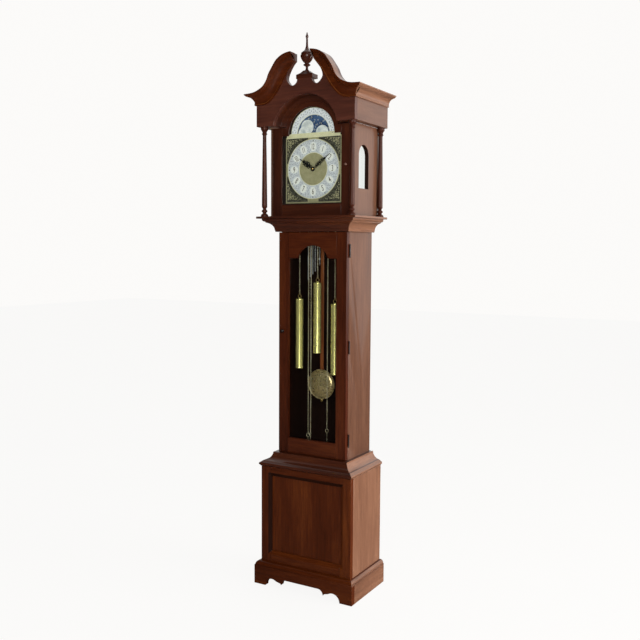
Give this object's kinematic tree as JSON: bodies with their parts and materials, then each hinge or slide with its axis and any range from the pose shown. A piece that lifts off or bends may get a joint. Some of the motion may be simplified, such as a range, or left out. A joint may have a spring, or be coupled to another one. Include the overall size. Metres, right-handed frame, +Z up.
{
  "type": "grandfather clock",
  "caption": "Tall longcase clock with a break-arch hood, swan-neck pediment, glazed waist door, chain-hung weights, a swinging pendulum and a moon dial.",
  "frame": {"origin": "on the floor at the middle of the clock's footprint", "axes": "+Z up, -Y out of the dial towards the viewer, +X to the viewer's right"},
  "size_m": [0.496, 0.304, 2.13],
  "materials": {
    "dark_mahogany": "dark red mahogany under glossy lacquer",
    "side_mahogany": "red-brown mahogany under glossy lacquer",
    "front_veneer": "warm orange-brown mahogany veneer under glossy lacquer",
    "plain_wood": "plain sawn softwood",
    "pendulum_wood": "varnished straight-grained wood",
    "clear_glass": "clear float glass",
    "polished_brass": "polished and lacquered",
    "matte_brass": "satin, finely grained",
    "brass_chain": "bright drawn wire",
    "silvered_ring": "silvered and printed in blue-grey and black",
    "painted_sky": "painted night sky",
    "black_paint": "satin black",
    "dark_iron": "dark, polished smooth",
    "chime_steel": "grey drawn steel"
  },
  "bodies": {
    "case": {"plinth_boards": "dark_mahogany", "plinth_moulding": "dark_mahogany", "base_floor": "plain_wood", "base_front_frame": "front_veneer", "base_panel": "front_veneer", "base_sides": "side_mahogany", "base_top_moulding": "dark_mahogany", "backboard": "side_mahogany", "waist_sides": "side_mahogany", "hood_base": "dark_mahogany", "hood_sides": "side_mahogany", "side_window_glass": "clear_glass", "columns": "dark_mahogany", "hood_soffit": "dark_mahogany", "pediment_board": "dark_mahogany", "frieze_sides": "side_mahogany", "hood_roof": "side_mahogany", "swan_necks": "dark_mahogany", "cornice_returns": "dark_mahogany", "pedestal_cap": "dark_mahogany", "finial": "dark_mahogany", "seat_board": "plain_wood", "waist_hinges_case": "dark_iron", "hood_hinge_pins": "polished_brass", "dial_mask": "black_paint", "dial_plate": "matte_brass", "spandrels": "polished_brass", "chapter_ring": "silvered_ring", "lunar_arch": "silvered_ring", "movement_frame": "matte_brass", "weight_chain_left": "brass_chain", "weight_chain_centre": "brass_chain", "weight_chain_right": "brass_chain", "pull_chain_left": "brass_chain", "pull_chain_centre": "brass_chain", "pull_chain_right": "brass_chain", "chime_rods": "chime_steel"},
    "waist_door": {"waist_door": "dark_mahogany", "waist_door_glass": "clear_glass", "waist_door_knob": "dark_iron", "waist_hinges_door": "dark_iron"},
    "hood_door": {"hood_door": "dark_mahogany", "hood_door_glass": "clear_glass", "hood_door_fittings": "polished_brass"},
    "minute_hand": {"minute_hand": "black_paint"},
    "hour_hand": {"hour_hand": "black_paint"},
    "moon_disc": {"moon_disc": "painted_sky"},
    "pendulum": {"pendulum_rod": "pendulum_wood", "pendulum_bob": "polished_brass"},
    "pallet_arbor": {"pallet_arbor": "chime_steel"},
    "weight_left": {"weight_left": "polished_brass"},
    "weight_centre": {"weight_centre": "polished_brass"},
    "weight_right": {"weight_right": "polished_brass"},
    "sprocket_left": {"sprocket_left": "matte_brass"},
    "sprocket_centre": {"sprocket_centre": "matte_brass"},
    "sprocket_right": {"sprocket_right": "matte_brass"},
    "chain_ring_left": {"chain_ring_left": "brass_chain"},
    "chain_ring_centre": {"chain_ring_centre": "brass_chain"},
    "chain_ring_right": {"chain_ring_right": "brass_chain"},
    "chime_hammers": {"chime_hammers": "chime_steel"}
  },
  "joints": [
    {"name": "waist_door_hinge", "type": "hinge", "parent": "case", "child": "waist_door", "pos_m": [0.1532, -0.03385, 0.964], "axis": [0, 0, 1], "range_deg": [0, 110]},
    {"name": "hood_door_hinge", "type": "hinge", "parent": "case", "child": "hood_door", "pos_m": [-0.174, -0.076, 1.627], "axis": [0, 0, -1], "range_deg": [0, 90]},
    {"name": "minute_hand_turn", "type": "hinge", "parent": "case", "child": "minute_hand", "pos_m": [0, -0.0565, 1.635], "axis": [0, 1, 0], "continuous": true},
    {"name": "hour_hand_turn", "type": "hinge", "parent": "case", "child": "hour_hand", "pos_m": [0, -0.054, 1.635], "axis": [0, 1, 0], "continuous": true},
    {"name": "moon_disc_turn", "type": "hinge", "parent": "case", "child": "moon_disc", "pos_m": [0, -0.0455, 1.757], "axis": [0, 1, 0], "continuous": true},
    {"name": "pendulum_swing", "type": "hinge", "parent": "case", "child": "pendulum", "pos_m": [0, 0.026, 1.6817], "axis": [0, 1, 0], "range_deg": [-3, 3]},
    {"name": "pallet_rock", "type": "hinge", "parent": "case", "child": "pallet_arbor", "pos_m": [0, -0.012, 1.6817], "axis": [0, 1, 0], "range_deg": [-3, 3]},
    {"name": "weight_left_drop", "type": "slide", "parent": "case", "child": "weight_left", "axis": [0, 0, 1], "range_m": [-0.65, 0.2], "deforming": ["weight_chain_left"]},
    {"name": "sprocket_left_turn", "type": "hinge", "parent": "case", "child": "sprocket_left", "pos_m": [-0.0605, -0.012, 1.6], "axis": [0, 1, 0], "range_deg": [-1818.7, 561]},
    {"name": "ring_left_rise", "type": "slide", "parent": "case", "child": "chain_ring_left", "axis": [0, 0, 1], "range_m": [-0.201, 0.651], "deforming": ["pull_chain_left"]},
    {"name": "weight_centre_drop", "type": "slide", "parent": "case", "child": "weight_centre", "axis": [0, 0, 1], "range_m": [-0.65, 0.19], "deforming": ["weight_chain_centre"]},
    {"name": "sprocket_centre_turn", "type": "hinge", "parent": "case", "child": "sprocket_centre", "pos_m": [-0.01425, -0.012, 1.6], "axis": [0, 1, 0], "range_deg": [-765.9, 2615.5]},
    {"name": "ring_centre_rise", "type": "slide", "parent": "case", "child": "chain_ring_centre", "axis": [0, 0, 1], "range_m": [-0.191, 0.651], "deforming": ["pull_chain_centre"]},
    {"name": "weight_right_drop", "type": "slide", "parent": "case", "child": "weight_right", "axis": [0, 0, 1], "range_m": [-0.63, 0.2], "deforming": ["weight_chain_right"]},
    {"name": "sprocket_right_turn", "type": "hinge", "parent": "case", "child": "sprocket_right", "pos_m": [0.0615, -0.012, 1.6], "axis": [0, 1, 0], "range_deg": [-718.2, 2258]},
    {"name": "ring_right_rise", "type": "slide", "parent": "case", "child": "chain_ring_right", "axis": [0, 0, 1], "range_m": [-0.201, 0.631], "deforming": ["pull_chain_right"]},
    {"name": "hammers_lift", "type": "hinge", "parent": "case", "child": "chime_hammers", "pos_m": [-0.085, 0.106, 1.56], "axis": [-1, 0, 0], "range_deg": [0, 12]}
  ],
  "couplings": [
    {"joint": "hour_hand_turn", "follows": "minute_hand_turn", "ratio": 0.083333},
    {"joint": "moon_disc_turn", "follows": "minute_hand_turn", "ratio": 0.00070621},
    {"joint": "pallet_rock", "follows": "pendulum_swing", "ratio": 1},
    {"joint": "sprocket_left_turn", "follows": "weight_left_drop", "rad_per_m": 48.78},
    {"joint": "ring_left_rise", "follows": "weight_left_drop", "ratio": -1},
    {"joint": "sprocket_centre_turn", "follows": "weight_centre_drop", "rad_per_m": -70.175},
    {"joint": "ring_centre_rise", "follows": "weight_centre_drop", "ratio": -1},
    {"joint": "sprocket_right_turn", "follows": "weight_right_drop", "rad_per_m": -62.5},
    {"joint": "ring_right_rise", "follows": "weight_right_drop", "ratio": -1}
  ]
}
